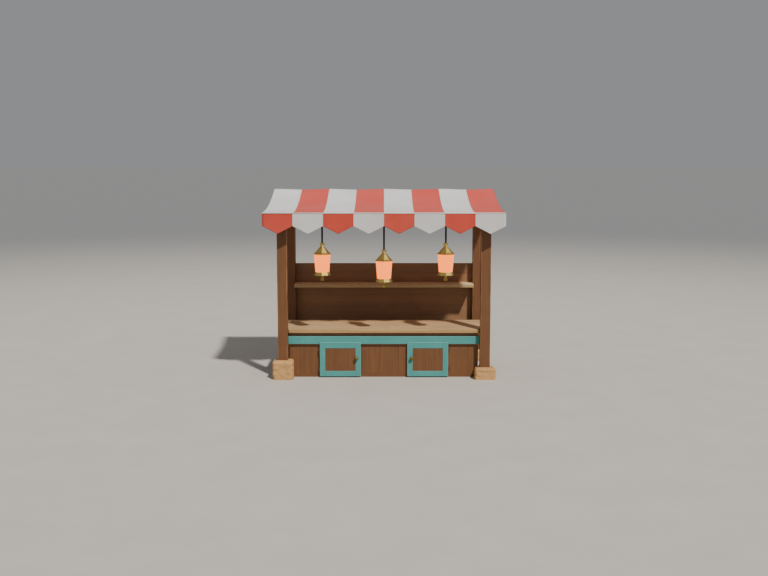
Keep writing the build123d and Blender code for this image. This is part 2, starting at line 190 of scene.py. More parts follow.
# Sandstone: sand grains of about 1 mm, drawn 6 mm wide so that they show, in beds
# some 45 mm thick of a warmer or a paler tan. The dressed face is quite matt.
sandstone, tree = new_material("dressed_sandstone")
place = shade(tree, "ShaderNodeTexCoord").outputs["Object"]
bedded = shade(tree, "ShaderNodeMapping", {"Vector": place, "Scale": (1.2, 1.2, 1 / 0.045)})
beds = shade(tree, "ShaderNodeTexNoise", {"Vector": bedded.outputs[0], "Scale": 1.0, "Detail": 4.0})
grains = shade(tree, "ShaderNodeTexNoise", {"Vector": place, "Scale": 1 / 0.006, "Detail": 5.0})
pits = shade(tree, "ShaderNodeTexVoronoi", {"Vector": place, "Scale": 1 / 0.03})
tint = shade(tree, "ShaderNodeMix", {0: beds.outputs["Fac"], 6: linear("#A07848"), 7: linear("#D2A46C")},
             data_type="RGBA").outputs[2]
speckle = shade(tree, "ShaderNodeMapRange", {0: grains.outputs["Fac"], 1: 0.35, 2: 0.65, 3: 0.82, 4: 1.08})
tint = shade(tree, "ShaderNodeMix", {0: 1.0, 6: tint, 7: speckle.outputs[0]}, data_type="RGBA",
             blend_type="MULTIPLY").outputs[2]
height = shade(tree, "ShaderNodeMath", {0: grains.outputs["Fac"], 1: pits.outputs["Distance"]}).outputs[0]
bump = shade(tree, "ShaderNodeBump", {"Height": height, "Distance": 0.003, "Strength": 0.7})
surface = shade(tree, "ShaderNodeBsdfPrincipled", {"Base Color": tint, "Roughness": 0.92,
                                                   "Normal": bump.outputs[0]})
shade(tree, "ShaderNodeOutputMaterial", {"Surface": surface.outputs[0]})

# The seat under a post is level. The punch marks set in beyond it and above the ground: broad
# hollows some 110 mm apart, with flat chips 45 mm wide. The back stones' backs are left square.
shoulder = 0.042
square_edge = 0.004
seat_half = 0.078
past_seat = 0.03
over_ground = 0.02
tooling = 0.009
hollows_per_metre = 9.0
chips_per_metre = 22.0

# Places no further apart than this count as one.
near = 1e-4

for node in ("footing_front_left", "footing_front_right", "footing_back_left", "footing_back_right"):
    low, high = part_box(node)
    post_low, post_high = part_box(node.replace("footing", "post"))
    post_middle = (post_low + post_high) / 2
    inner_low = low + Vector((shoulder, shoulder, 0.0))
    inner_high = high - Vector((shoulder, shoulder if "front" in node else square_edge, shoulder))
    bm = block(low, high)
    bmesh.ops.subdivide_edges(bm, edges=bm.edges[:], cuts=15, use_grid_fill=True)
    bm.normal_update()
    for vertex in bm.verts:
        spot = vertex.co.copy()
        past = max(abs(spot.x - post_middle.x), abs(spot.y - post_middle.y)) - seat_half
        if past < 0 and spot.z > high.z - near:
            continue
        core = held_within(spot, inner_low, inner_high)
        away = spot - core
        inward = -away.normalized() if away.length > near else -vertex.normal
        if away.length > shoulder:
            away = away.normalized() * shoulder
        cut = tooling * (0.5 + 0.5 * noise.fractal(spot * hollows_per_metre, 1.0, 2.0, 3))
        cut += 0.6 * tooling * noise.cell(spot * chips_per_metre)
        moved = core + away + inward * cut * share(past, past_seat)
        moved.z = spot.z + (moved.z - spot.z) * share(spot.z, over_ground)
        vertex.co = held_within(moved, low, high)
    bmesh.ops.recalc_face_normals(bm, faces=bm.faces[:])
    finish_piece(bm, node.replace("footing", "stone"), "stall", [sandstone], [node])

# Posts, beams, rafters and eave rail. Sawn pine, planed and stained brown: the
# posts stand on the stones, the beams lie on the posts, and the rafters are
# notched over the beams and carry the lanterns.
X_AXIS, Y_AXIS, Z_AXIS = 0, 1, 2


def wood(name, dark, light, along, edge_colour="#B08A5E", gloss=0.62, board_tones=(0.95, 1.05)):
    """Timber with its grain along one axis. Faces may carry a board number and an edge mark."""
    material, tree = new_material(name)
    place = shade(tree, "ShaderNodeTexCoord").outputs["Object"]
    board = shade(tree, "ShaderNodeAttribute", attribute_name="board")
    # Each board is cut from another place of the timber.
    shifted = shade(tree, "ShaderNodeVectorMath", {0: board.outputs["Vector"], 1: (3.1, 5.7, 2.3), 2: place},
                    operation="MULTIPLY_ADD").outputs[0]
    # Growth rings are 3 to 5 mm apart in pine and drawn 16 mm apart, and the fibre is drawn
    # 5 mm wide, so that both show.
    ring_scale = [1 / 0.016] * 3
    ring_scale[along] = 1 / 0.6
    fibre_scale = [1 / 0.005] * 3
    fibre_scale[along] = 1 / 0.11
    stretched = shade(tree, "ShaderNodeMapping", {"Vector": shifted, "Scale": ring_scale})
    rings = shade(tree, "ShaderNodeTexNoise", {"Vector": stretched.outputs[0], "Scale": 0.55, "Detail": 3.0,
                                               "Roughness": 0.6, "Distortion": 1.3})
    drawn_out = shade(tree, "ShaderNodeMapping", {"Vector": shifted, "Scale": fibre_scale})
    fibre = shade(tree, "ShaderNodeTexNoise", {"Vector": drawn_out.outputs[0], "Scale": 1.0, "Detail": 4.0})
    patches = shade(tree, "ShaderNodeTexNoise", {"Vector": shifted, "Scale": 1 / 0.35, "Detail": 2.0})
    figure = shade(tree, "ShaderNodeMapRange", {0: rings.outputs["Fac"], 1: 0.36, 2: 0.66})
    tint = shade(tree, "ShaderNodeMix", {0: figure.outputs[0], 6: linear(dark), 7: linear(light)},
                 data_type="RGBA").outputs[2]
    streak = shade(tree, "ShaderNodeMapRange", {0: fibre.outputs["Fac"], 1: 0.3, 2: 0.7, 3: 0.92, 4: 1.05})
    tint = shade(tree, "ShaderNodeMix", {0: 1.0, 6: tint, 7: streak.outputs[0]}, data_type="RGBA",
                 blend_type="MULTIPLY").outputs[2]
    tone = shade(tree, "ShaderNodeMapRange", {0: board.outputs["Fac"], 3: board_tones[0], 4: board_tones[1]})
    cloud = shade(tree, "ShaderNodeMapRange", {0: patches.outputs["Fac"], 1: 0.3, 2: 0.7, 3: 0.93, 4: 1.05})
    tone = shade(tree, "ShaderNodeMath", {0: tone.outputs[0], 1: cloud.outputs[0]}, operation="MULTIPLY")
    tint = shade(tree, "ShaderNodeMix", {0: 1.0, 6: tint, 7: tone.outputs[0]}, data_type="RGBA",
                 blend_type="MULTIPLY").outputs[2]
    edge = shade(tree, "ShaderNodeAttribute", attribute_name="edge").outputs["Fac"]
    rubbed = shade(tree, "ShaderNodeMapRange", {0: patches.outputs["Fac"], 1: 0.42, 2: 0.6, 3: 0.1, 4: 0.75})
    rubbed = shade(tree, "ShaderNodeMath", {0: edge, 1: rubbed.outputs[0]}, operation="MULTIPLY",
                   use_clamp=True)
    tint = shade(tree, "ShaderNodeMix", {0: rubbed.outputs[0], 6: tint, 7: linear(edge_colour)},
                 data_type="RGBA").outputs[2]
    sunk = shade(tree, "ShaderNodeMath", {0: edge, 1: -0.35}, operation="MULTIPLY", use_clamp=True)
    tint = shade(tree, "ShaderNodeMix", {0: sunk.outputs[0], 6: tint, 7: linear("#1D140E")},
                 data_type="RGBA").outputs[2]
    rough = shade(tree, "ShaderNodeMapRange", {0: fibre.outputs["Fac"], 3: gloss - 0.08, 4: gloss + 0.12})
    height = shade(tree, "ShaderNodeMath", {0: rings.outputs["Fac"], 1: 1.5, 2: fibre.outputs["Fac"]},
                   operation="MULTIPLY_ADD")
    bump = shade(tree, "ShaderNodeBump", {"Height": height.outputs[0], "Distance": 0.0009, "Strength": 0.6})
    surface = shade(tree, "ShaderNodeBsdfPrincipled", {"Base Color": tint, "Roughness": rough.outputs[0],
                                                       "IOR": 1.47, "Normal": bump.outputs[0]})
    shade(tree, "ShaderNodeOutputMaterial", {"Surface": surface.outputs[0]})
    return material


# Walnut-stained pine: a warm brown with darker rings, dull from weather and hands.
stain_dark, stain_light = "#644023", "#724926"
stained_across = wood("walnut_stained_pine_across", stain_dark, stain_light, X_AXIS)
stained_deep = wood("walnut_stained_pine_deep", stain_dark, stain_light, Y_AXIS)
stained_upright = wood("walnut_stained_pine_upright", stain_dark, stain_light, Z_AXIS)


def dress(node, material):
    """Give a carried-over node its finish."""
    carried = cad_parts[node]
    for slot in carried.material_slots:
        slot.material = material
    if not carried.material_slots:
        carried.data.materials.append(material)


def round_off(bm, edges, radius, steps):
    """Round some edges in a number of steps."""
    bmesh.ops.bevel(bm, geom=edges, offset=radius, segments=steps, profile=0.5, affect="EDGES",
                    material=-1)


# Directions whose cosine is over this count as one.
straight = 0.999


def mark_edges(bm):
    """Mark every face that slants as an eased edge, for the wear in the wood's finish and the painted
    highlight in the teal paint.
    """
    edge = bm.faces.layers.float.new("edge")
    bm.normal_update()
    for face in bm.faces:
        face[edge] = 1.0 if max(abs(part) for part in face.normal) < straight else 0.0


def cut_through(bm, place, direction):
    """Divide a whole mesh at a plane."""
    bmesh.ops.bisect_plane(bm, geom=bm.verts[:] + bm.edges[:] + bm.faces[:], dist=1e-6,
                           plane_co=place, plane_no=direction)


def unit(along):
    """Vector of length one along an axis."""
    return Vector([float(axis == along) for axis in range(3)])


# A timber's arrises wear unevenly, in lengths of about 60 mm, but not in the 10 mm at its ends.
wear_length = 0.06
sound_end = 0.01


def timber(node, along, ease, worn, material):
    """Squared timber in a node's place, its long arrises eased and worn uneven by up to worn."""
    low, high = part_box(node)
    bm = block(low, high)
    arrises = [e for e in bm.edges if abs(e.verts[0].co[along] - e.verts[1].co[along]) > near]
    round_off(bm, arrises, ease, steps=2)
    mark_edges(bm)
    whole = high[along] - low[along]
    lengths = int(whole / wear_length)
    for number in range(1, lengths):
        level = low[along] + whole * number / lengths
        cut_through(bm, unit(along) * level, unit(along))
    edge = bm.faces.layers.float["edge"]
    middle = (low + high) / 2
    for vertex in bm.verts:
        if not low[along] + sound_end < vertex.co[along] < high[along] - sound_end:
            continue
        if any(face[edge] for face in vertex.link_faces):
            inward = middle - vertex.co
            inward[along] = 0.0
            vertex.co += inward.normalized() * worn * max(0.0, noise.noise(vertex.co * 7.0) + 0.2)
    finish_piece(bm, f"{node}_timber", "stall", [material], [node])


for node in ("post_front_left", "post_front_right", "post_back_left", "post_back_right"):
    timber(node, Z_AXIS, ease=0.006, worn=0.003, material=stained_upright)
for node in ("front_beam", "back_beam"):
    timber(node, X_AXIS, ease=0.004, worn=0.002, material=stained_across)
dress("eave_rail", stained_across)
dress("end_rafters", stained_deep)
dress("lantern_rafters", stained_deep)

# Canopy. Eight widths of cotton canvas, red and white by turns, felled together
# and pulled over the rafters from the eave rail to the back. The cloth sags a
# little between the rafters.
cloth_low, cloth_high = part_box("canopy")
cloth_width = cloth_high.x - cloth_low.x
stripes = 8
stripe = cloth_width / stripes

# Canvas: plain weave with threads 0.8 mm apart, drawn 5 mm apart so that they show; matt,
# with a slight sheen and faded in clouds. A row of stitches runs 6 mm to each side of a
# seam, each stitch 5 mm long and 3 mm from the next.
thread_gap = 0.005
seam_half = 0.006
stitch_half = 0.0009
stitch_gap = 0.008
stitch_share = 0.62


def canvas(name, colour, faded, upright, thread_colour="#A79F92"):
    """Woven cloth. Its threads run across and up a hanging cloth, or across and back on a lying one."""
    material, tree = new_material(name)
    place = shade(tree, "ShaderNodeTexCoord").outputs["Object"]
    # At a scale of one, the bands lie pi / 10 apart.
    weave_scale = math.pi / 10 / thread_gap
    warp = shade(tree, "ShaderNodeTexWave", {"Vector": place, "Scale": weave_scale, "Distortion": 0.6,
                                             "Detail": 1.0}, bands_direction="X")
    weft = shade(tree, "ShaderNodeTexWave", {"Vector": place, "Scale": weave_scale, "Distortion": 0.6,
                                             "Detail": 1.0}, bands_direction="Z" if upright else "Y")
    weave = shade(tree, "ShaderNodeMath", {0: warp.outputs["Fac"], 1: weft.outputs["Fac"]},
                  operation="MULTIPLY")
    axes = shade(tree, "ShaderNodeSeparateXYZ", {0: place}).outputs
    across = shade(tree, "ShaderNodeMath", {0: axes[0], 1: 1 / stripe, 2: -cloth_low.x / stripe},
                   operation="MULTIPLY_ADD")
    off_seam = shade(tree, "ShaderNodeMath", {0: across.outputs[0], 1: 0.5}, operation="PINGPONG")
    row = shade(tree, "ShaderNodeMath", {0: off_seam.outputs[0], 1: seam_half / stripe,
                                         2: stitch_half / stripe}, operation="COMPARE")
    step = shade(tree, "ShaderNodeMath", {0: axes[2 if upright else 1], 1: 1 / stitch_gap},
                 operation="MULTIPLY")
    step = shade(tree, "ShaderNodeMath", {0: step.outputs[0]}, operation="FRACT")
    step = shade(tree, "ShaderNodeMath", {0: step.outputs[0], 1: stitch_share}, operation="LESS_THAN")
    stitch = shade(tree, "ShaderNodeMath", {0: row.outputs[0], 1: step.outputs[0]}, operation="MULTIPLY")
    clouds = shade(tree, "ShaderNodeTexNoise", {"Vector": place, "Scale": 1 / 0.5, "Detail": 4.0})
    slubs = shade(tree, "ShaderNodeTexNoise", {"Vector": place, "Scale": 1 / 0.02, "Detail": 3.0})
    fade = shade(tree, "ShaderNodeMapRange", {0: clouds.outputs["Fac"], 1: 0.35, 2: 0.7})
    tint = shade(tree, "ShaderNodeMix", {0: fade.outputs[0], 6: linear(colour), 7: linear(faded)},
                 data_type="RGBA").outputs[2]
    thread = shade(tree, "ShaderNodeMath", {0: weave.outputs[0], 1: slubs.outputs["Fac"]}, operation="ADD")
    thread = shade(tree, "ShaderNodeMapRange", {0: thread.outputs[0], 1: 0.3, 2: 1.3, 3: 0.95, 4: 1.03})
    tint = shade(tree, "ShaderNodeMix", {0: 1.0, 6: tint, 7: thread.outputs[0]}, data_type="RGBA",
                 blend_type="MULTIPLY").outputs[2]
    tint = shade(tree, "ShaderNodeMix", {0: stitch.outputs[0], 6: tint, 7: linear(thread_colour)},
                 data_type="RGBA").outputs[2]
    height = shade(tree, "ShaderNodeMath", {0: stitch.outputs[0], 1: 2.0, 2: weave.outputs[0]},
                   operation="MULTIPLY_ADD")
    bump = shade(tree, "ShaderNodeBump", {"Height": height.outputs[0], "Distance": 0.0006, "Strength": 0.5})
    surface = shade(tree, "ShaderNodeBsdfPrincipled", {
        "Base Color": tint, "Roughness": 0.88, "Sheen Weight": 0.15, "Sheen Roughness": 0.5,
        "Normal": bump.outputs[0]})
    shade(tree, "ShaderNodeOutputMaterial", {"Surface": surface.outputs[0]})
    return material


# The lying canvas is painted lighter than its hanging copies: painted light on cloth that faces the sky.
lit_lying_white = canvas("white_cotton_canvas_lying_lit", "#E0E0E0", "#D8D7D6", upright=False)
lit_lying_red = canvas("red_cotton_canvas_lying_lit", "#D04636", "#D05042", upright=False, thread_colour="#8A3428")

# The roof's line is an arc that is level at the eave and steepest at the back. The middle of
# the cloth lies 4.5 mm below the top of the solid that it replaces, just over the rafters.
cloth = 0.002
cloth_below = 0.0045
solid_thickness = 0.006
eave_z = cloth_low.z + solid_thickness
run = cloth_high.y - cloth_low.y
rise = cloth_high.z - eave_z
arc = (run ** 2 + rise ** 2) / (2 * rise)

half_rafter = 0.0225
lantern_spacing = 0.858
ends_low, ends_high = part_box("end_rafters")
rafter_lines = (ends_low.x + half_rafter, -lantern_spacing, 0.0, lantern_spacing, ends_high.x - half_rafter)
rail_low, rail_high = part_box("eave_rail")
sag = 0.011
sag_reach = 0.35


def roof_height(y):
    """Height of the middle of the cloth at depth y."""
    return eave_z + arc - math.sqrt((arc + cloth_below) ** 2 - (y - cloth_low.y) ** 2)


def cloth_sag(x, y):
    """How far the cloth hangs down between two rafters, which grows from the eave rail back."""
    free = share(y - rail_high.y, sag_reach)
    for left, right in zip(rafter_lines, rafter_lines[1:]):
        if left <= x <= right:
            return sag * free * math.sin(math.pi * (x - left) / (right - left)) ** 2
    return 0.0


def stripe_at(x):
    """Number of the stripe at a place across the canopy, from the left."""
    return int((x - cloth_low.x) / stripe)


def face_out(bm, outward):
    """Turn the faces of a sheet to its outer side."""
    bmesh.ops.recalc_face_normals(bm, faces=bm.faces[:])
    if sum(face.normal.dot(outward) for face in bm.faces) < 0:
        bmesh.ops.reverse_faces(bm, faces=bm.faces[:])


def thicken(piece):
    """Give a sheet the thickness of the cloth, half to each side."""
    thickness = piece.modifiers.new("cloth", "SOLIDIFY")
    thickness.thickness = cloth
    thickness.offset = 0.0


# The sheet's lines within a stripe, two of them close beside its seams.
stripe_lines = (0.0, seam_half, 0.075, 0.145, 0.21, 0.275, 0.345, stripe - seam_half)
lines_x = [cloth_low.x + number * stripe + line for number in range(stripes) for line in stripe_lines]
lines_x.append(cloth_high.x)
columns = len(lines_x) - 1
rows = 46
seam_height = 0.001
ripple_height = 0.0009
bm = bmesh.new()
bmesh.ops.create_grid(bm, x_segments=columns, y_segments=rows, size=1.0)
for vertex in bm.verts:
    column = round((vertex.co.x + 1) / 2 * columns)
    x = lines_x[column]
    y = cloth_low.y + run * ((vertex.co.y + 1) / 2)
    at_seam = column % len(stripe_lines) == 0 and 0 < column < columns
    ripple = ripple_height * noise.noise(Vector((x * 6.0, y * 2.5, 4.0)))
    z = roof_height(y) - cloth_sag(x, y) + seam_height * at_seam + ripple
    vertex.co = Vector((x, y, z))
for face in bm.faces:
    face.material_index = stripe_at(face.calc_center_median().x) % 2
face_out(bm, Vector((0, 0, 1)))
canopy_cloth = finish_piece(bm, "canopy_cloth", "stall", [lit_lying_white, lit_lying_red],
                            ["canopy"], smooth=True)
thicken(canopy_cloth)


def roll(bm, middle, length, radius, turned_about, sides=8):
    """Straight roll of cloth, laid level by a quarter turn about the axis X or Y."""
    bmesh.ops.create_cone(bm, cap_ends=True, segments=sides, radius1=radius, radius2=radius, depth=length,
                          matrix=Matrix.Translation(middle) @ Matrix.Rotation(math.pi / 2, 4, turned_about))


# The three free edges are turned in twice, which leaves a round hem 8 mm thick.
hem_radius = 0.004
hem_end = 0.001
bm = bmesh.new()
for x in (cloth_low.x + hem_radius, cloth_high.x - hem_radius):
    roll(bm, (x, (cloth_low.y + cloth_high.y) / 2, 0), run - 2 * hem_end, hem_radius, "X")
for number in range(1, rows):
    cut_through(bm, (0, cloth_low.y + run * number / rows, 0), (0, 1, 0))
roll(bm, (0, cloth_high.y - hem_radius, 0), cloth_width - 4 * hem_radius, hem_radius, "Y")
for x in lines_x[1:-1]:
    cut_through(bm, (x, 0, 0), (1, 0, 0))
for vertex in bm.verts:
    vertex.co.z += roof_height(vertex.co.y) - cloth_sag(vertex.co.x, vertex.co.y)
for face in bm.faces:
    face.material_index = stripe_at(face.calc_center_median().x) % 2
canopy_hems = finish_piece(bm, "canopy_hems", "stall", [lit_lying_white, lit_lying_red],
                           smooth=True)

# Valance. A strip of the same canvas cut to eight points hangs in front of the
# eave rail, red where the canopy is white, in darker copies of its colours that are
# painted shade. The points of its white stripes are bound with cotton tape, and a
# pale rolled hem runs along the eave.
shaded_hung_white = canvas("white_cotton_canvas_hung_shaded", "#C9C8C6", "#C2C0BD", upright=True)
shaded_hung_red = canvas("red_cotton_canvas_hung_shaded", "#BA3D2D", "#C04C3C", upright=True, thread_colour="#7E2D22")
hem_tape = canvas("bleached_cotton_tape", "#E4E1DA", "#DAD6CE", upright=True)

valance_low, valance_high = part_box("valance")
tip_drop = 0.108
top = valance_high.z - cloth
tape_width = 0.012
across = 12
levels = 14
hangs_forward = 0.001
loose_reach = 0.2
wave_height = 0.0035
long_wave, short_wave = 0.31, 0.173


def foot_line(part):
    """Height of the valance's foot at a part of a stripe's width, lowest in the middle."""
    return valance_low.z + tip_drop * abs(2.0 * part - 1.0)


bm = bmesh.new()
bmesh.ops.create_grid(bm, x_segments=stripes * across, y_segments=levels, size=1.0)
for vertex in bm.verts:
    column = round((vertex.co.x + 1) / 2 * stripes * across)
    level = round((vertex.co.y + 1) / 2 * levels)
    x = cloth_low.x + column * stripe / across
    foot = foot_line(column % across / across)
    z = foot
    if level > 0:
        z = foot + tape_width + (top - foot - tape_width) * (level - 1) / (levels - 1)
    wave = math.sin(2 * math.pi * x / long_wave + 0.8) + 0.7 * math.sin(2 * math.pi * x / short_wave + 2.1)
    wave *= wave_height * share(rail_low.z - z, loose_reach)
    vertex.co = Vector((x, (valance_low.y + valance_high.y) / 2 - hangs_forward + wave, z))
for face in bm.faces:
    centre = face.calc_center_median()
    number = stripe_at(centre.x)
    face.material_index = number % 2
    foot = foot_line((centre.x - cloth_low.x) / stripe - number)
    if number % 2 == 1 and centre.z < foot + tape_width:
        face.material_index = 2
face_out(bm, Vector((0, -1, 0)))
valance_cloth = finish_piece(bm, "valance_cloth", "stall", [shaded_hung_red, shaded_hung_white, hem_tape],
                             ["valance"], smooth=True)
thicken(valance_cloth)

# The hem along the eave is the canopy's edge rolled over a cord and sewn down.
cord_hem_radius = 0.0065
cord_hem_middle = Vector((0, cloth_low.y - 0.001, eave_z - 0.007))
bm = bmesh.new()
roll(bm, cord_hem_middle, cloth_width, cord_hem_radius, "Y", sides=12)
cut_through(bm, (0, 0, 0), (1, 0, 0))
eave_hem = finish_piece(bm, "eave_hem", "stall", [hem_tape], smooth=True)

# Back wall. Nine stained boards are nailed to the backs of the back posts, with
# their edges planed to a small V where two boards meet.


def eased_box(low, high, ease):
    """Closed box between two corners, its edges eased and marked as rubbed."""
    bm = block(low, high)
    if ease:
        round_off(bm, bm.edges[:], ease, steps=2)
    mark_edges(bm)
    return bm


chance = random.Random(11)
joint_width = 0.003


def board_joints(bm, spaced, through, joints, depth=0.0014, painted_shade_upwards=False):
    """Cut a slab's two broad faces into boards by V joints, and give each board a random number.

    The numbers set the boards' tones, and if asked they fall from the lowest board to the highest, as
    painted shade that darkens upwards.
    """
    edge = bm.faces.layers.float["edge"]
    board = bm.faces.layers.float.new("board")
    middle = sum(vertex.co[through] for vertex in bm.verts) / len(bm.verts)
    for joint in joints:
        for side in (-0.5, 0.0, 0.5):
            level = joint + side * joint_width
            cut_through(bm, unit(spaced) * level, unit(spaced))
        for vertex in bm.verts:
            if abs(vertex.co[spaced] - joint) < near:
                vertex.co[through] -= math.copysign(depth, vertex.co[through] - middle)
    numbers = [chance.random() for _ in range(len(joints) + 1)]
    if painted_shade_upwards:
        numbers.sort(reverse=True)
    for face in bm.faces:
        centre = face.calc_center_median()[spaced]
        face[board] = numbers[sum(centre > joint for joint in joints)]
        if any(abs(centre - joint) < joint_width / 2 for joint in joints):
            face[edge] = -1.0


def spread(start, end, count):
    """Places of the joints that cut a width into a number of equal boards."""
    return [start + (end - start) * step / count for step in range(1, count)]


# The wall's stain is painted lighter and greyer than the posts' as painted light in the
# canopy's shade, and its upper boards are painted darker, as painted shade that deepens upwards.
shade_lifted_dark, shade_lifted_light = "#826042", "#8D6746"
shade_lifted_wall_across = wood("shade_lifted_wall_pine", shade_lifted_dark, shade_lifted_light, X_AXIS,
                        board_tones=(0.74, 1.3))

# The backs of the boards are set in by the height of the nail heads.
board_ease = 0.0025
head_height = 0.0008
wall_boards = 9
wall_low, wall_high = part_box("back_wall")
bm = eased_box(wall_low, wall_high - Vector((0, head_height, 0)), board_ease)
# The boards grow darker towards the top: painted shade.
board_joints(bm, Z_AXIS, Y_AXIS, spread(wall_low.z, wall_high.z, wall_boards), painted_shade_upwards=True)
finish_piece(bm, "wall_boards", "stall", [shade_lifted_wall_across], ["back_wall"])

# Wrought iron: black scale from the forge, slightly uneven under the hammer.
iron, tree = new_material("black_wrought_iron")
place = shade(tree, "ShaderNodeTexCoord").outputs["Object"]
hammer = shade(tree, "ShaderNodeTexNoise", {"Vector": place, "Scale": 1 / 0.012, "Detail": 3.0})
tint = shade(tree, "ShaderNodeMix", {0: hammer.outputs["Fac"], 6: linear("#1C1C1D"), 7: linear("#33302E")},
             data_type="RGBA").outputs[2]
bump = shade(tree, "ShaderNodeBump", {"Height": hammer.outputs["Fac"], "Distance": 0.0012, "Strength": 0.5})
surface = shade(tree, "ShaderNodeBsdfPrincipled", {"Base Color": tint, "Metallic": 0.7, "Roughness": 0.55,
                                                   "Normal": bump.outputs[0]})
shade(tree, "ShaderNodeOutputMaterial", {"Surface": surface.outputs[0]})

BACKWARDS, FORWARDS = (0, 1, 0), (0, -1, 0)
stud_length = 0.003


def studs(name, body, material, places, radius, facing):
    """Low heads of nails, screws or pegs, which stand out from the surface at their places."""
    bm = bmesh.new()
    turn = Vector(facing).to_track_quat("Z", "Y").to_matrix().to_4x4()
    for place in places:
        middle = Vector(place) + Vector(facing) * (head_height - stud_length / 2)
        bmesh.ops.create_cone(bm, cap_ends=True, segments=10, radius1=radius, radius2=0.6 * radius,
                              depth=stud_length, matrix=Matrix.Translation(middle) @ turn)
    finish_piece(bm, name, body, [material])


board_width = (wall_high.z - wall_low.z) / wall_boards
wall_nail_shift = 0.27 * board_width
nails = []
for side in ("left", "right"):
    post_low, post_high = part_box(f"post_back_{side}")
    for number in range(wall_boards):
        board_middle = wall_low.z + board_width * (number + 0.5)
        for nail_z in (board_middle - wall_nail_shift, board_middle + wall_nail_shift):
            nails.append(((post_low.x + post_high.x) / 2, wall_high.y - head_height, nail_z))
studs("wall_nails", "stall", iron, nails, radius=0.006, facing=BACKWARDS)

# Shelf. One planed board between the back posts, on a stained cleat. Its top is
# painted paler than its front and eased nose, as painted light on a top in the canopy's shade.


def mark_front(bm, least):
    """Give the second material to the faces that look forward by more than a least amount."""
    for face in bm.faces:
        face.material_index = 1 if face.normal.y < -least else 0


dress("shelf_cleat", stained_across)
lit_top_across = wood("painted_light_top_pine", "#D6B080", "#E8C69A", X_AXIS, edge_colour="#B8925E", gloss=0.7)
shaded_front_across = wood("handled_pine", "#9A865C", "#AE9A70", X_AXIS, edge_colour="#9A845E", gloss=0.6)
shelf_low, shelf_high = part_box("shelf")
bm = block(shelf_low, shelf_high)
nose = [e for e in bm.edges if all(v.co.y < shelf_low.y + near for v in e.verts)
        and abs(e.verts[0].co.x - e.verts[1].co.x) > near]
round_off(bm, nose, radius=0.006, steps=3)
mark_edges(bm)
# The front and nose take the darker copy of the pine: the shaded side of the painted light.
mark_front(bm, least=0.5)
finish_piece(bm, "shelf_board", "stall", [lit_top_across, shaded_front_across], ["shelf"])

# Cabinet. Upright stained boards close its front beside and between the doorways,
# its ends and its back; the rails and the floor run across. The top rail, in deep
# shade under the counter, has the wall's lighter, greyer stain as painted light.
shade_lifted_rail_across = wood("shade_lifted_rail_pine", shade_lifted_dark, shade_lifted_light, X_AXIS)
dress("cabinet_top_rail", shade_lifted_rail_across)
dress("cabinet_bottom_rail", stained_across)

for node, name, spaced, through, count, material, ease in (
        ("cabinet_front_left", "cabinet_boards_left", X_AXIS, Y_AXIS, 3, stained_upright, 0.0),
        ("cabinet_front_middle", "cabinet_boards_middle", X_AXIS, Y_AXIS, 5, stained_upright, 0.0),
        ("cabinet_front_right", "cabinet_boards_right", X_AXIS, Y_AXIS, 3, stained_upright, 0.0),
        ("cabinet_side_left", "cabinet_end_left", Y_AXIS, X_AXIS, 5, stained_upright, board_ease),
        ("cabinet_side_right", "cabinet_end_right", Y_AXIS, X_AXIS, 5, stained_upright, board_ease),
        ("cabinet_back", "cabinet_back_boards", X_AXIS, Y_AXIS, 18, stained_upright, board_ease),
        ("cabinet_floor", "cabinet_floor_boards", Y_AXIS, Z_AXIS, 5, stained_across, board_ease),
):
    low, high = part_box(node)
    bm = eased_box(low, high, ease)
    board_joints(bm, spaced, through, spread(low[spaced], high[spaced], count))
    finish_piece(bm, name, "stall", [material], [node])

# Counter top. Four pale planed boards, jointed and cleaned off as one slab that is
# notched round the front posts. Its corners are taken off and its top edge is
# rounded, and the front edge has darkened from being leant on.
# The eased rim is rubbed in patches to a colour darker than the top; that darkening is painted shade, so
# that the rounded edge shows no highlight.
planed_across = wood("planed_pine", "#AE8C60", "#CCAC82", X_AXIS, edge_colour="#A9834F", gloss=0.55)
leant_across = wood("leant_on_pine", "#9C7A4C", "#B6905E", X_AXIS, edge_colour="#A9834F", gloss=0.5)


def prism(outline, depth):
    """Solid from a flat outline to its copy, which lies a vector away."""
    bm = bmesh.new()
    near_end = [bm.verts.new(place) for place in outline]
    far_end = [bm.verts.new(Vector(place) + Vector(depth)) for place in outline]
    bm.faces.new(near_end)
    bm.faces.new(far_end)
    for number in range(len(outline)):
        bm.faces.new((near_end[number - 1], near_end[number], far_end[number], far_end[number - 1]))
    bmesh.ops.recalc_face_normals(bm, faces=bm.faces[:])
    return bm


slab_low, slab_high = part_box("counter_top")
post_low, post_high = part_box("post_front_right")
notch_play = 0.0003
post_side = post_low.x
notch_back = post_high.y + notch_play
right_half = ((post_side, slab_low.y), (post_side, notch_back), (slab_high.x, notch_back),
              (slab_high.x, slab_high.y))
left_half = [(-x, y) for x, y in reversed(right_half)]
bm = prism([(x, y, slab_low.z) for x, y in (*right_half, *left_half)], (0, 0, slab_high.z - slab_low.z))


def at_post(edge):
    """True for an edge that lies against a front post."""
    return all(abs(v.co.x) > post_side - near and v.co.y < notch_back + near for v in edge.verts)


corners = [e for e in bm.edges if abs(e.verts[0].co.z - e.verts[1].co.z) > near
           and not slab_low.y + near < e.verts[0].co.y < slab_high.y - near]
round_off(bm, corners, radius=0.024, steps=3)
rim = [e for e in bm.edges if min(v.co.z for v in e.verts) > slab_high.z - near and not at_post(e)]
round_off(bm, rim, radius=0.007, steps=3)
mark_edges(bm)
board_joints(bm, Y_AXIS, Z_AXIS, spread(slab_low.y, slab_high.y, 4), depth=0.0015)
bm.normal_update()
mark_front(bm, least=0.8)
finish_piece(bm, "counter_boards", "stall", [planed_across, leant_across], ["counter_top"])
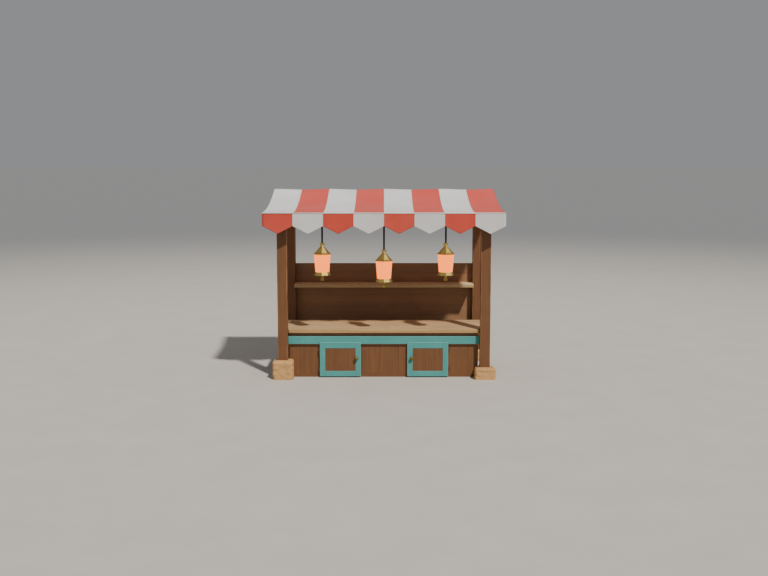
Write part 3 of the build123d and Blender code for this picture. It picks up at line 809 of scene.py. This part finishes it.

# Apron. A board painted teal hangs under the counter's edge in front of the
# cabinet. Milk paint: matt, brushed along the board, worn through on its edges, and
# tinted pale teal on every eased edge as a painted highlight.


def milk_paint(name, along):
    """Brushed teal paint on pine, with its brush marks along one axis."""
    material, tree = new_material(name)
    place = shade(tree, "ShaderNodeTexCoord").outputs["Object"]
    # Bristle marks are under 1 mm wide and drawn 4 mm wide.
    brush_scale = [1 / 0.004] * 3
    brush_scale[along] = 1 / 0.18
    stroke = shade(tree, "ShaderNodeMapping", {"Vector": place, "Scale": brush_scale})
    bristle = shade(tree, "ShaderNodeTexNoise", {"Vector": stroke.outputs[0], "Scale": 1.0, "Detail": 3.0})
    clouds = shade(tree, "ShaderNodeTexNoise", {"Vector": place, "Scale": 1 / 0.25, "Detail": 4.0})
    tint = shade(tree, "ShaderNodeMix", {0: clouds.outputs["Fac"], 6: linear("#38827E"),
                                         7: linear("#4A9792")}, data_type="RGBA").outputs[2]
    streak = shade(tree, "ShaderNodeMapRange", {0: bristle.outputs["Fac"], 1: 0.3, 2: 0.7, 3: 0.94, 4: 1.05})
    tint = shade(tree, "ShaderNodeMix", {0: 1.0, 6: tint, 7: streak.outputs[0]}, data_type="RGBA",
                 blend_type="MULTIPLY").outputs[2]
    edge = shade(tree, "ShaderNodeAttribute", attribute_name="edge").outputs["Fac"]
    chips = shade(tree, "ShaderNodeTexNoise", {"Vector": place, "Scale": 1 / 0.02, "Detail": 4.0})
    worn = shade(tree, "ShaderNodeMapRange", {0: chips.outputs["Fac"], 1: 0.64, 2: 0.68})
    worn = shade(tree, "ShaderNodeMath", {0: edge, 1: worn.outputs[0]}, operation="MULTIPLY", use_clamp=True)
    # Painted highlight: every eased edge is tinted pale teal, as if it caught the light.
    pale = shade(tree, "ShaderNodeMath", {0: edge, 1: 0.45}, operation="MULTIPLY", use_clamp=True)
    tint = shade(tree, "ShaderNodeMix", {0: pale.outputs[0], 6: tint, 7: linear("#9CC4C0")},
                 data_type="RGBA").outputs[2]
    tint = shade(tree, "ShaderNodeMix", {0: worn.outputs[0], 6: tint, 7: linear("#A98560")},
                 data_type="RGBA").outputs[2]
    sunk = shade(tree, "ShaderNodeMath", {0: edge, 1: -0.6}, operation="MULTIPLY", use_clamp=True)
    tint = shade(tree, "ShaderNodeMix", {0: sunk.outputs[0], 6: tint, 7: linear("#1F3433")},
                 data_type="RGBA").outputs[2]
    bump = shade(tree, "ShaderNodeBump", {"Height": bristle.outputs["Fac"], "Distance": 0.0005,
                                          "Strength": 0.5})
    surface = shade(tree, "ShaderNodeBsdfPrincipled", {"Base Color": tint, "Roughness": 0.7,
                                                       "Normal": bump.outputs[0]})
    shade(tree, "ShaderNodeOutputMaterial", {"Surface": surface.outputs[0]})
    return material


teal_across = milk_paint("teal_milk_paint_across", X_AXIS)
teal_upright = milk_paint("teal_milk_paint_upright", Z_AXIS)
apron_low, apron_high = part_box("apron")
bm = eased_box(apron_low, apron_high, ease=0.004)
finish_piece(bm, "apron_board", "stall", [teal_across], ["apron"])
apron_middle = (apron_low.z + apron_high.z) / 2
apron_nail_shift = 0.03
nails = [(x, apron_low.y, apron_middle + shift) for x in (-1.29, -0.62, 0.0, 0.62, 1.29)
         for shift in (-apron_nail_shift, apron_nail_shift)]
studs("apron_nails", "stall", teal_across, nails, radius=0.0045, facing=FORWARDS)

# Doors. Teal stiles and rails, pegged at the corners, hold one stained panel,
# which lies 5 mm back. The head is rebated at the back, so that it laps the apron.
stile = 0.076
top_rail = 0.088
bottom_rail = 0.078
rebate_front = apron_low.y - 0.002
rebate_low = apron_low.z - 0.004
door_ease = 0.004
inner_wear_and_highlight = 0.15
peg_shift = 0.02

for side in ("left", "right"):
    body = f"door_{side}"
    low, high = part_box(f"{body}_frame")
    members = (
        ("stile_a", (low.x, low.z), (low.x + stile, high.z), teal_upright),
        ("stile_b", (high.x - stile, low.z), (high.x, high.z), teal_upright),
        ("foot", (low.x + stile, low.z), (high.x - stile, low.z + bottom_rail), teal_across),
        ("head", (low.x + stile, high.z - top_rail), (high.x - stile, high.z), teal_across),
    )
    for part, (x_low, z_low), (x_high, z_high), paint in members:
        section = [(low.y, z_low), (high.y, z_low), (high.y, min(z_high, rebate_low))]
        if z_high > rebate_low:
            section += [(rebate_front, rebate_low), (rebate_front, z_high)]
        section.append((low.y, z_high))
        bm = prism([(x_low, y, z) for y, z in section], (x_high - x_low, 0, 0))
        front = [e for e in bm.edges if all(v.co.y < low.y + near for v in e.verts)]
        round_off(bm, front, door_ease, steps=2)
        bmesh.ops.recalc_face_normals(bm, faces=bm.faces[:])
        mark_edges(bm)
        # The paint is rubbed, and given its painted edge highlight, at the door's outline and hardly at the
        # edges inside it.
        edge = bm.faces.layers.float["edge"]
        for face in bm.faces:
            middle = face.calc_center_median()
            inside = min(middle.x - low.x, high.x - middle.x, middle.z - low.z, high.z - middle.z)
            if inside > 2 * door_ease:
                face[edge] *= inner_wear_and_highlight
        stands_for = [f"{body}_frame"] if part == "stile_a" else []
        finish_piece(bm, f"{body}_{part}", body, [paint], stands_for)
    pegs = [(x, low.y, z + shift) for x in (low.x + stile / 2, high.x - stile / 2)
            for z in (low.z + bottom_rail / 2, high.z - top_rail / 2) for shift in (-peg_shift, peg_shift)]
    studs(f"{body}_pegs", body, teal_across, pegs, radius=0.005, facing=FORWARDS)
    dress(f"{body}_panel", stained_upright)

# Knobs and hinges. The knobs are turned from brass and have a small rose; the
# hinges are lacquered iron, screwed to the door's edge and to the cabinet's face.


def aged_brass(name, dull, bright, roughest, smoothest, bare):
    """Brass with patina from a dull colour to a bright one, rough where it is dull and partly bare."""
    material, tree = new_material(name)
    place = shade(tree, "ShaderNodeTexCoord").outputs["Object"]
    patina = shade(tree, "ShaderNodeTexNoise", {"Vector": place, "Scale": 1 / 0.05, "Detail": 4.0})
    tint = shade(tree, "ShaderNodeMix", {0: patina.outputs["Fac"], 6: linear(dull), 7: linear(bright)},
                 data_type="RGBA").outputs[2]
    rough = shade(tree, "ShaderNodeMapRange", {0: patina.outputs["Fac"], 1: 0.3, 2: 0.7, 3: roughest,
                                               4: smoothest})
    bump = shade(tree, "ShaderNodeBump", {"Height": patina.outputs["Fac"], "Distance": 0.001,
                                          "Strength": 0.3})
    surface = shade(tree, "ShaderNodeBsdfPrincipled", {
        "Base Color": tint, "Metallic": bare, "Roughness": rough.outputs[0], "Normal": bump.outputs[0]})
    shade(tree, "ShaderNodeOutputMaterial", {"Surface": surface.outputs[0]})
    return material


# Brass: aged in the open to a dull olive yellow. The knobs have tarnished darker, from hands.
brass = aged_brass("aged_brass", "#90802B", "#E2C474", roughest=0.44, smoothest=0.36, bare=0.9)
tarnished_brass = aged_brass("tarnished_brass", "#5E5420", "#7C6C2C", roughest=0.7, smoothest=0.6, bare=0.5)

# Japanned iron: hinges stoved in a brown lacquer near the stain, so that they hardly show.
japanned, tree = new_material("japanned_iron")
place = shade(tree, "ShaderNodeTexCoord").outputs["Object"]
runs = shade(tree, "ShaderNodeTexNoise", {"Vector": place, "Scale": 1 / 0.015, "Detail": 3.0})
tint = shade(tree, "ShaderNodeMix", {0: runs.outputs["Fac"], 6: linear("#4A2F1C"), 7: linear("#6B4428")},
             data_type="RGBA").outputs[2]
bump = shade(tree, "ShaderNodeBump", {"Height": runs.outputs["Fac"], "Distance": 0.0006, "Strength": 0.4})
surface = shade(tree, "ShaderNodeBsdfPrincipled", {"Base Color": tint, "Roughness": 0.45,
                                                   "Normal": bump.outputs[0]})
shade(tree, "ShaderNodeOutputMaterial", {"Surface": surface.outputs[0]})
for node in ("cabinet_hinges", "door_left_hinges", "door_right_hinges"):
    dress(node, japanned)

# Each of the cabinet's four leaves has three screws, one above the other.
leaf_thickness = 0.0025
leaf_half_width = 0.01
leaf_half_height = 0.036
screw_gap = 0.024
leaf_low, leaf_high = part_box("cabinet_hinges")
leaf_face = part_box("cabinet_bottom_rail")[0].y - leaf_thickness
screws = [(x, leaf_face, z + shift) for x in (leaf_low.x + leaf_half_width, leaf_high.x - leaf_half_width)
          for z in (leaf_low.z + leaf_half_height, leaf_high.z - leaf_half_height)
          for shift in (-screw_gap, 0.0, screw_gap)]
studs("hinge_screws", "stall", japanned, screws, radius=0.004, facing=FORWARDS)


def turned(profile, centre, axis, steps):
    """Spin a profile of radius and distance pairs round an axis, from start to end."""
    bm = bmesh.new()
    axis = Vector(axis)
    # Round an upright axis, a corner looks forward.
    out = Vector(FORWARDS) if axis.z else axis.orthogonal().normalized()
    points = [bm.verts.new(Vector(centre) + out * radius + axis * along) for radius, along in profile]
    line = [bm.edges.new(pair) for pair in zip(points, points[1:])]
    bmesh.ops.spin(bm, geom=points + line, cent=centre, axis=axis, angle=2 * math.pi, steps=steps,
                   use_merge=True)
    bmesh.ops.remove_doubles(bm, verts=bm.verts[:], dist=near)
    bmesh.ops.recalc_face_normals(bm, faces=bm.faces[:])
    return bm


knob_profile = (
    (0.0, 0.0), (0.011, 0.0), (0.011, 0.003), (0.0095, 0.0045), (0.009, 0.008), (0.009, 0.015),
    (0.012, 0.018), (0.019, 0.021), (0.0262, 0.027), (0.0285, 0.034), (0.027, 0.041), (0.021, 0.048),
    (0.012, 0.0525), (0.0, 0.054),
)
for side in ("left", "right"):
    low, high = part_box(f"door_{side}_knob")
    centre = ((low.x + high.x) / 2, high.y, (low.z + high.z) / 2)
    bm = turned(knob_profile, centre, FORWARDS, steps=32)
    finish_piece(bm, f"door_{side}_turned_knob", f"door_{side}", [tarnished_brass],
                 [f"door_{side}_knob"], smooth=True)

# Lanterns. Sheet brass, soldered up with eight sides: a collar, a steep cap with
# a rolled rim, a moulded base and a finial. Each holds a shade of opal glass and
# hangs on an iron rod, from a pin under a rafter.

# Opal glass: milky in clouds some 50 mm across and lit from inside, so that it glows a
# warm peach. Its moulded surface is slightly uneven and glossier where it is smooth.
opal, tree = new_material("lit_opal_glass")
place = shade(tree, "ShaderNodeTexCoord").outputs["Object"]
milk = shade(tree, "ShaderNodeTexNoise", {"Vector": place, "Scale": 1 / 0.05, "Detail": 3.0}).outputs["Fac"]
glow = shade(tree, "ShaderNodeMix", {0: milk, 6: linear("#FF7622"), 7: linear("#FF8430")},
             data_type="RGBA").outputs[2]
rough = shade(tree, "ShaderNodeMapRange", {0: milk, 1: 0.3, 2: 0.7, 3: 0.34, 4: 0.46}).outputs[0]
bump = shade(tree, "ShaderNodeBump", {"Height": milk, "Distance": 0.0015, "Strength": 0.4})
surface = shade(tree, "ShaderNodeBsdfPrincipled", {
    "Base Color": linear("#4A2412"), "Roughness": rough, "IOR": 1.4, "Normal": bump.outputs[0],
    "Emission Color": glow, "Emission Strength": 2.7})
shade(tree, "ShaderNodeOutputMaterial", {"Surface": surface.outputs[0]})

dress("lantern_brackets", iron)

# The outlines are pairs of radius and height, from the middle of the underside to that of the top.
plate_height = 0.074
for body in ("lantern_left", "lantern_middle", "lantern_right"):
    dress(f"{body}_rod", iron)
    dress(f"{body}_glass", opal)
    low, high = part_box(f"{body}_metalwork")
    glass_low, glass_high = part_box(f"{body}_glass")
    centre = ((low.x + high.x) / 2, (low.y + high.y) / 2, 0.0)
    foot = low.z
    plate = foot + plate_height
    seat = glass_low.z
    base = (
        (0.0, foot), (0.022, foot), (0.028, foot + 0.004), (0.0275, foot + 0.012), (0.02, foot + 0.034),
        (0.015, foot + 0.056), (0.0145, plate - 0.006), (0.03, plate + 0.0005), (0.108, plate + 0.0005),
        (0.1138, plate + 0.0025), (0.1138, plate + 0.008), (0.098, seat - 0.001), (0.0965, seat),
        (0.0, seat),
    )
    bm = turned(base, centre, (0, 0, 1), steps=8)
    finish_piece(bm, f"{body}_base", body, [brass], [f"{body}_metalwork"])
    rim = glass_high.z
    top = high.z
    cap = (
        (0.0, rim), (0.119, rim), (0.123, rim + 0.004), (0.123, rim + 0.009), (0.118, rim + 0.0125),
        (0.1003, rim + 0.027), (0.0825, rim + 0.047), (0.0647, rim + 0.067), (0.0496, rim + 0.084),
        (0.034, rim + 0.1), (0.027, rim + 0.107), (0.03, rim + 0.112), (0.027, rim + 0.117),
        (0.03, rim + 0.128), (0.0345, rim + 0.148), (0.0345, top - 0.002), (0.031, top), (0.0, top),
    )
    bm = turned(cap, centre, (0, 0, 1), steps=8)
    finish_piece(bm, f"{body}_cap", body, [brass])
